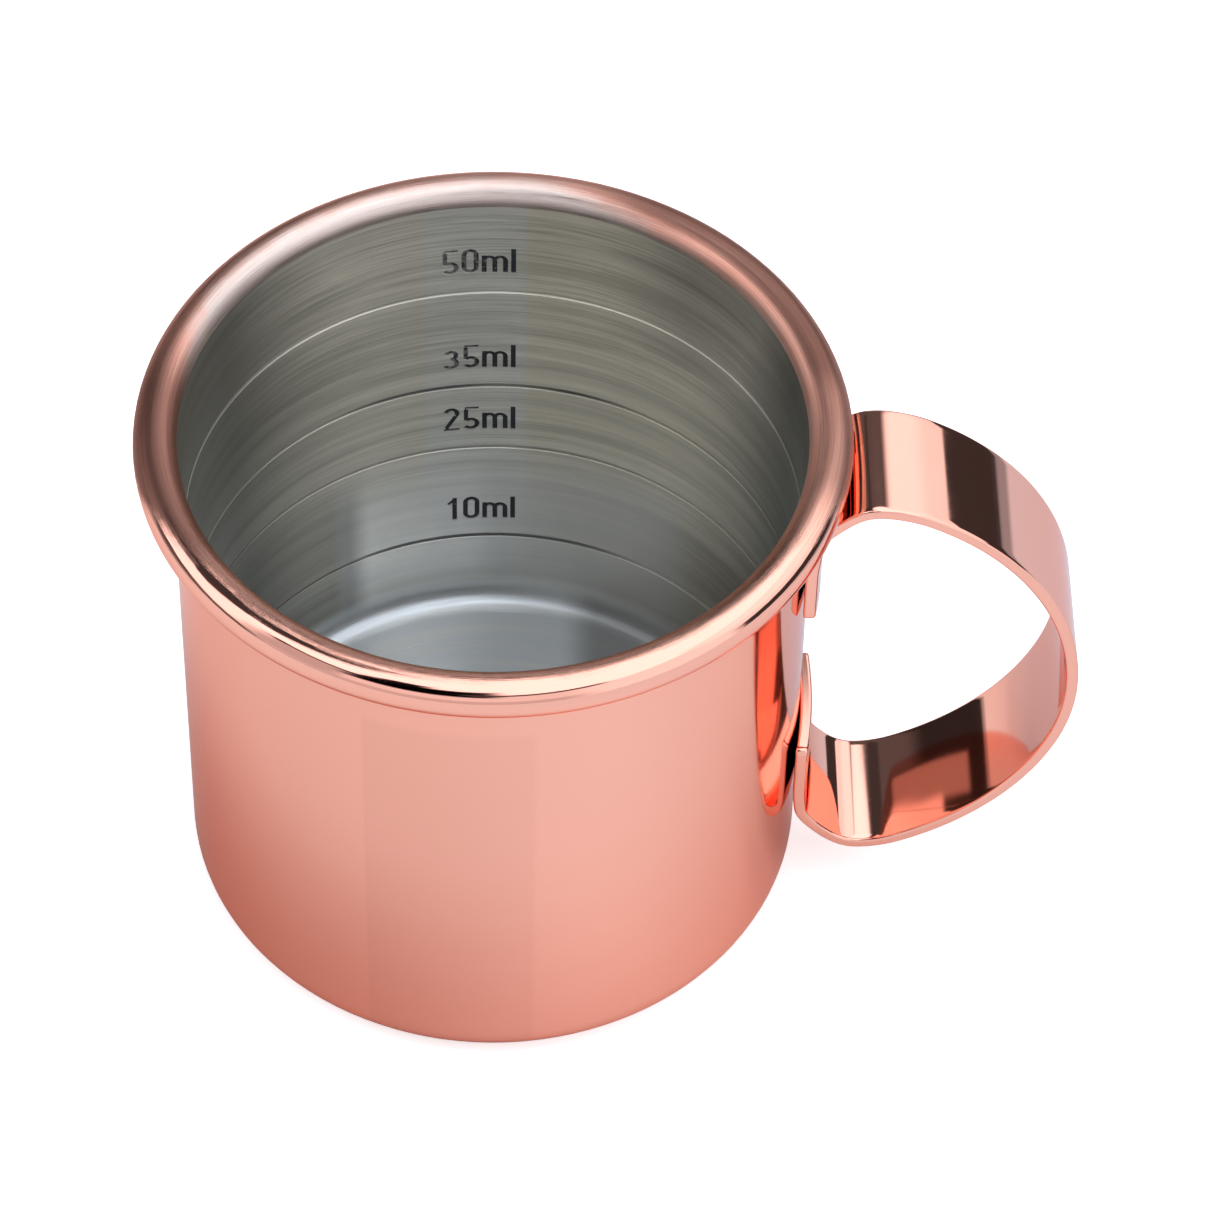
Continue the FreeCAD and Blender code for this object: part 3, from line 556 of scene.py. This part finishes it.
def floor_colour(n, tone, position):
    """A floor painted paler than the wall, with painted shade towards its right."""
    x = n.add("ShaderNodeSeparateXYZ", {"Vector": position}).outputs[0]
    floor = n.mix(tone, FLOOR_DARK, FLOOR_PALE)
    # Painted shade towards the floor's right.
    floor = n.mix(n.ramp(x, *FLOOR_SHADE_ACROSS), floor, FLOOR_SHADE)
    return n.mix(n.ramp(x, *FLOOR_CORNER_SHADE_ACROSS), floor, FLOOR_CORNER_SHADE)


def with_scribed_rings(n, colour, position, from_back, height):
    """Each ring is painted dark in the middle of the back, and painted bright to the sides."""
    wash = n.noise(position, *RING_SHADE_NOISE)
    middle = n.ramp(n.math("ABSOLUTE", n.plus(from_back, RING_SHADE_OFF_CENTRE)), *RING_SHADE_MIDDLE)
    for mark, shade_share in RING_SHADE_SHARES.items():
        above = n.minus(height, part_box(mark)[0].z - MARK_LIFT)
        # Painted highlight along the ring, strongest to its sides.
        highlighted = n.times(n.window(above, *RING_HIGHLIGHT_ACROSS),
                       n.blend(middle, RING_HIGHLIGHT_SHARE, RING_HIGHLIGHT_SHARE * (1.0 - shade_share)))
        colour = n.mix(highlighted, colour, RING_HIGHLIGHT)
        # Painted shade along the ring, in the middle of the back.
        shaded = n.times(n.window(above, *RING_SHADE_ACROSS),
                        n.ramp(wash, *RING_SHADE_NOISE_SPAN, RING_SHADE_LEAST * shade_share, shade_share))
        colour = n.mix(n.times(shaded, middle), colour, RING_SHADE)
    return colour


def brushed_steel(name):
    """Spun steel: brushing round the axis, scribed rings, a paler floor, and painted light and shade.
    """
    material, n = new_material(name)
    position, radius, angle, height = radial_coordinates(n)
    across = n.plus(radius, height)
    from_back = n.math("WRAP", n.minus(90.0, n.math("DEGREES", angle)), 180, -180)
    on_floor = n.ramp(height, *FLOOR_TOP)
    fine = rings_of_noise(n, angle, across, *BRUSH_FINE)
    broad = rings_of_noise(n, angle, across, *BRUSH_BROAD)
    tone = brushing_tone(n, fine, broad, height)
    colour = n.mix(on_floor, wall_colour(n, tone, from_back, height), floor_colour(n, tone, position))
    colour = with_scribed_rings(n, colour, position, from_back, height)
    metallic = n.ramp(height, *STEEL_METALLIC_HEIGHT, n.ramp(from_back, *STEEL_METALLIC_LOW),
                      STEEL_METALLIC_HIGH)
    ends = n.math("MAXIMUM", n.ramp(height, *ROUGH_BOTTOM), n.ramp(height, *ROUGH_TOP))
    rough = n.plus(n.spread(fine, *STEEL_ROUGHNESS), n.times(ends, ROUGH_ENDS))
    rough = n.blend(on_floor, rough, n.spread(fine, *FLOOR_ROUGHNESS))
    shader = brushed_metal(n, n.times(fine, BRUSH_DEPTH), {
        "Base Color": colour, "Metallic": metallic, "Roughness": rough, "Anisotropic": 0.9})
    finish_material(n, shader)
    return material


# The dark fill of the marks: the shares rubbed off at each mark's left and right end.
MARK_WEAR = {"mark_10ml": (0.35, 0.25), "mark_25ml": (0.2, 0.05),
             "mark_35ml": (0.6, 0.2), "mark_50ml": (0.65, 0.3)}
RUBBING = (2600.0, 3.0, 0.65)
RUBBED_SPAN = (0.42, 0.62)
RUBBED_METALLIC = 0.8
INK_SCALE = 1500.0
INK_DARK, INK_PALE = (0.010, 0.010, 0.016), (0.035, 0.035, 0.042)
RUBBED = (0.30, 0.30, 0.29)


def dark_fill(mark):
    """Dark fill of a stamped mark, rubbed back to steel in patches."""
    material, n = new_material(mark)
    position = n.add("ShaderNodeTexCoord").outputs["Object"]
    x = n.add("ShaderNodeSeparateXYZ", {"Vector": position}).outputs[0]
    low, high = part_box(mark)
    share = n.ramp(x, low.x, high.x, *MARK_WEAR[mark], smooth=False)
    patchy = n.noise(position, *RUBBING)
    rubbed = n.ramp(n.plus(patchy, n.minus(share, 0.5)), *RUBBED_SPAN)
    ink = n.mix(n.noise(position, INK_SCALE), INK_DARK, INK_PALE)
    shader = n.add("ShaderNodeBsdfPrincipled", {
        "Base Color": n.mix(rubbed, ink, RUBBED), "Metallic": n.times(rubbed, RUBBED_METALLIC),
        "Roughness": 0.5})
    finish_material(n, shader)
    return material


def paint(node, material):
    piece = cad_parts[node]
    for place in piece.material_slots:
        place.material = material


# ---------------------------------------------------------------- handle strap

# The strap in mm: its section, where its tabs end, its outermost places, and its bends' radii.
STRAP = {
    "width": 9.6, "thickness": 0.90, "offset": -1.56, "edge": 0.24, "tab_corner": 0.5,
    "back": 22.4, "upper_tab_end": 30.5, "lower_tab_end": 15.9,
    "top": 42.15, "bottom": 4.55, "reach": 41.7, "front_height": 22.9,
    "front": 17.9, "flank": 20.5, "upper_crest": 9.9, "lower_crest": 7.6,
    "upper_bend": 3.7, "lower_bend": 4.4,
}
ARC_STEP = 0.22
ARC_LEAST = 6
TAB_END_STEPS = (0.0, 0.02, 0.05, 0.09, 0.14, 0.20, 0.26, 0.32, 0.38, 0.44, 0.5)
TAB_STEPS = 12
ACROSS_STEPS = 28
EDGE_STEPS = 7


def angle_to(start, end):
    return math.degrees(math.atan2(end[1] - start[1], end[0] - start[0]))


def polar(centre, radius, angle):
    turn = math.radians(angle)
    return (centre[0] + radius * math.cos(turn), centre[1] + radius * math.sin(turn))


def crossing(first, first_radius, second, second_radius, side):
    apart = math.dist(first, second)
    cosine = (apart ** 2 + first_radius ** 2 - second_radius ** 2) / (2 * apart * first_radius)
    return polar(first, first_radius, angle_to(first, second) + side * math.degrees(math.acos(cosine)))


def strap_arcs():
    """The strap's outside, clockwise from upper tab to lower tab: centre, radius, first, last."""
    s = STRAP
    upper = (s["back"] + s["upper_bend"], s["top"] - s["upper_bend"])
    lower = (s["back"] + s["lower_bend"], s["bottom"] + s["lower_bend"])
    upper_crest = (upper[0], s["top"] - s["upper_crest"])
    lower_crest = (lower[0], s["bottom"] + s["lower_crest"])
    front = (s["reach"] - s["front"], s["front_height"])
    reach = s["flank"] - s["front"]
    upper_flank = crossing(upper_crest, s["flank"] - s["upper_crest"], front, reach, -1)
    lower_flank = crossing(lower_crest, s["flank"] - s["lower_crest"], front, reach, 1)
    turns = [angle_to(upper_flank, upper_crest), angle_to(upper_flank, front),
             angle_to(lower_flank, front), angle_to(lower_flank, lower_crest)]
    return [(upper, s["upper_bend"], 180, 90), (upper_crest, s["upper_crest"], 90, turns[0]),
            (upper_flank, s["flank"], turns[0], turns[1]), (front, s["front"], turns[1], turns[2]),
            (lower_flank, s["flank"], turns[2], turns[3]),
            (lower_crest, s["lower_crest"], turns[3], -90), (lower, s["lower_bend"], -90, -180)]


def tab_places(length):
    """Distances along a tab from its end, close together over its rounded corners."""
    fine = TAB_END_STEPS[-1]
    return [*TAB_END_STEPS, *(fine + k * (length - fine) / TAB_STEPS for k in range(1, TAB_STEPS + 1))]


def strap_stations():
    """Places along the strap's outside, upper tab to lower tab: point and inward normal."""
    arcs = strap_arcs()
    places = []
    top_start, low_stop = arcs[0][0][1], arcs[-1][0][1]
    back = STRAP["back"]
    for along in tab_places(top_start - STRAP["upper_tab_end"]):
        places.append(((back, STRAP["upper_tab_end"] + along), (1.0, 0.0)))
    for centre, radius, first, last in arcs:
        count = max(ARC_LEAST, int(radius * math.radians(first - last) / ARC_STEP))
        for k in range(1, count + 1):
            angle = first + (last - first) * k / count
            turn = math.radians(angle)
            places.append((polar(centre, radius, angle), (-math.cos(turn), -math.sin(turn))))
    for along in reversed(tab_places(STRAP["lower_tab_end"] - low_stop)[:-1]):
        places.append(((back, STRAP["lower_tab_end"] - along), (1.0, 0.0)))
    return places


def strap_section():
    """Outline of the strap's section: (across, depth) with rounded edges, in mm."""
    half, deep, edge = STRAP["width"] / 2, STRAP["thickness"], STRAP["edge"]
    outline = []
    corners = [((-half + edge, edge), 270, 180), ((-half + edge, deep - edge), 180, 90),
               ((half - edge, deep - edge), 90, 0), ((half - edge, edge), 0, -90)]
    for index, (centre, first, last) in enumerate(corners):
        for k in range(EDGE_STEPS + 1):
            outline.append(polar(centre, edge, first + (last - first) * k / EDGE_STEPS))
        if index in (1, 3):
            start, depth = outline[-1]
            for k in range(1, ACROSS_STEPS):
                outline.append((start - 2 * start * k / ACROSS_STEPS, depth))
    return outline


# In mm: the distance from the axis inside which the strap starts to dip, and its curvature there.
EASE_FROM = {"upper": 27.3, "lower": 26.9}
EASE_BEND = 0.13

# Where the tabs are drawn onto the round wall, in mm: the distance past the bend over which each
# settles, the strap's middle height, and how far out from the wall the effect reaches.
SETTLE_GAP = 1.0
SETTLE = {"upper": 6.5, "lower": 5.5}
SEAT_SHARE = {"upper": 0.75, "lower": 0.6}
STRAP_MIDDLE = 23
SEAT_NEAR, SEAT_FADE = 1.2, 3.5


def ease_into_bend(point, inward):
    """How far the strap dips towards its own middle where it starts to turn down into a tab."""
    end = "upper" if inward[1] < 0 else "lower"
    reach = max(0.0, EASE_FROM[end] - point[0])
    return 0.5 * EASE_BEND * reach ** 2 * inward[1]


def clamped(value):
    return max(0.0, min(1.0, value))


def seat_on_cup(x, y, z):
    """Draws the tabs back onto the round wall: how far a point moves towards the cup's axis."""
    end = "upper" if z > STRAP_MIDDLE else "lower"
    past_bend = STRAP["top"] - z if end == "upper" else z - STRAP["bottom"]
    settled = clamped((past_bend - SETTLE_GAP) / SETTLE[end])
    settled = settled * settled * (3 - 2 * settled)
    near = clamped(1 - (x - STRAP["back"] - SEAT_NEAR) / SEAT_FADE)
    wall = STRAP["back"] - math.sqrt(STRAP["back"] ** 2 - y * y)
    return wall * settled * near * SEAT_SHARE[end]


def rounded_end(from_end):
    """The half width and the thickness, as a share, at a distance from a tab's end."""
    corner, edge = STRAP["tab_corner"], STRAP["edge"]
    from_end = min(from_end, corner)
    half_width = STRAP["width"] / 2 - corner + math.sqrt(corner ** 2 - (corner - from_end) ** 2)
    if from_end >= edge:
        return half_width, 1.0
    lost = 1 - math.sqrt(1 - (1 - from_end / edge) ** 2)
    return half_width, 1 - 2 * edge / STRAP["thickness"] * lost


def distance_from_end(index, point, total):
    """Distance to the nearer tab's end, counted over the tabs only."""
    on_tab = len(TAB_END_STEPS) + TAB_STEPS
    if index <= on_tab:
        return point[1] - STRAP["upper_tab_end"]
    if index >= total - on_tab - 1:
        return STRAP["lower_tab_end"] - point[1]
    return STRAP["tab_corner"]


def make_strap():
    section = strap_section()
    stations = strap_stations()
    half, middle = STRAP["width"] / 2, STRAP["thickness"] / 2
    bm = bmesh.new()
    rings = []
    for index, (point, inward) in enumerate(stations):
        half_width, thin = rounded_end(distance_from_end(index, point, len(stations)))
        ring = []
        for across, depth in section:
            y = across * half_width / half + STRAP["offset"]
            depth = (depth - middle) * thin + middle
            x = point[0] + inward[0] * depth
            z = point[1] + inward[1] * depth + ease_into_bend(point, inward)
            x -= seat_on_cup(x, y, z)
            ring.append(bm.verts.new((x * MM, y * MM, z * MM)))
        rings.append(ring)
    for first, second in zip(rings, rings[1:]):
        for k in range(len(section)):
            j = (k + 1) % len(section)
            bm.faces.new((first[k], first[j], second[j], second[k]))
    bm.faces.new(list(reversed(rings[0])))
    bm.faces.new(rings[-1])
    bmesh.ops.recalc_face_normals(bm, faces=bm.faces)
    for face in bm.faces:
        face.smooth = len(face.verts) == 4
    mesh = bpy.data.meshes.new("strap")
    bm.to_mesh(mesh)
    bm.free()
    strap = bpy.data.objects.new("strap", mesh)
    bpy.context.scene.collection.objects.link(strap)
    mesh.materials.append(polished_copper("strap_copper"))
    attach(strap, "root")
    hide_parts("handle_strap")


# ---------------------------------------------------------------- scene

def main():
    scene = bpy.context.scene
    scene.view_settings.view_transform = "Standard"
    make_camera()
    make_world()
    make_table()
    paint("copper_plating", plated_cup("body_copper"))
    steel = brushed_steel("spun_steel")
    paint("cup_shell", steel)
    for node in ("upper_spot_welds", "lower_spot_welds"):
        paint(node, steel)
    for mark in MARK_WEAR:
        paint(mark, dark_fill(mark))
    make_strap()


main()
